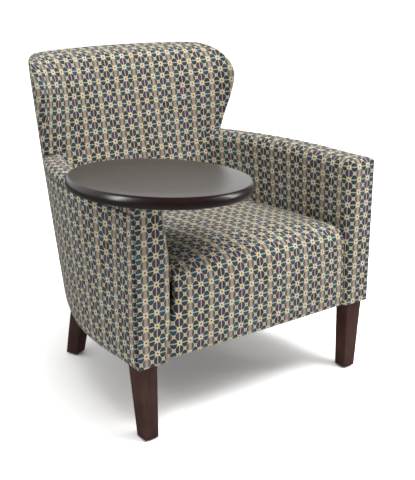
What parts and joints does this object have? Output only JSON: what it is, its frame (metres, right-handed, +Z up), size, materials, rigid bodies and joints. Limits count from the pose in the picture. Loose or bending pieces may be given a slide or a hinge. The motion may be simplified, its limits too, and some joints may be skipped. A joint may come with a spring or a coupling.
{
  "type": "tablet-arm lounge chair",
  "caption": "Upholstered wing-back tub armchair in a star-lattice fabric on dark tapered wooden legs, with a round wooden tablet that swivels on one arm.",
  "frame": {"origin": "on the floor, on the chair's centre plane, 360 mm behind the arm fronts", "axes": "+Z up, -Y the way the chair faces, +X toward the sitter's left"},
  "size_m": [0.8572, 0.8878, 0.8694],
  "materials": {
    "upholstery_fabric": "woven star-lattice pattern in cream, teal, plum and taupe",
    "stained_wood": "espresso stain under satin lacquer",
    "frame_wood": "sawn hardwood and plywood",
    "steel": "zinc plated",
    "nylon": "moulded",
    "glide_plastic": "moulded",
    "black_cloth": "plain weave"
  },
  "bodies": {
    "chair": {"front_leg_left": "stained_wood", "front_leg_right": "stained_wood", "rear_leg_left": "stained_wood", "rear_leg_right": "stained_wood", "leg_glides": "glide_plastic", "leg_plates": "steel", "leg_bolts": "steel", "front_rail": "frame_wood", "rear_rail": "frame_wood", "side_rail_left": "frame_wood", "side_rail_right": "frame_wood", "corner_blocks": "frame_wood", "front_post_left": "frame_wood", "front_post_right": "frame_wood", "back_post_left": "frame_wood", "back_post_right": "frame_wood", "arm_board_left": "frame_wood", "arm_board_right": "frame_wood", "wing_board_left": "frame_wood", "wing_board_right": "frame_wood", "back_top_rail": "frame_wood", "back_lower_rail": "frame_wood", "back_webbing": "black_cloth", "seat_springs": "steel", "spring_clips": "steel", "dust_cover": "black_cloth", "seat": "upholstery_fabric", "inside_back": "upholstery_fabric", "arm_pad_left": "upholstery_fabric", "arm_pad_right": "upholstery_fabric", "arm_front_left": "upholstery_fabric", "arm_front_right": "upholstery_fabric", "outside_arm_left": "upholstery_fabric", "outside_arm_right": "upholstery_fabric", "outside_back": "upholstery_fabric", "pivot_socket": "steel", "socket_screws": "steel", "pivot_bush_upper": "nylon", "pivot_bush_lower": "nylon"},
    "tablet": {"thrust_washer": "nylon", "pivot_shaft": "steel", "shaft_collar": "steel", "tablet_plate": "steel", "plate_screws": "steel", "tablet_top": "stained_wood"}
  },
  "joints": [
    {"name": "tablet_swivel", "type": "hinge", "parent": "chair", "child": "tablet", "pos_m": [-0.3523, -0.23008, 0.604], "axis": [0.0541, 0, 0.9985], "continuous": true}
  ]
}
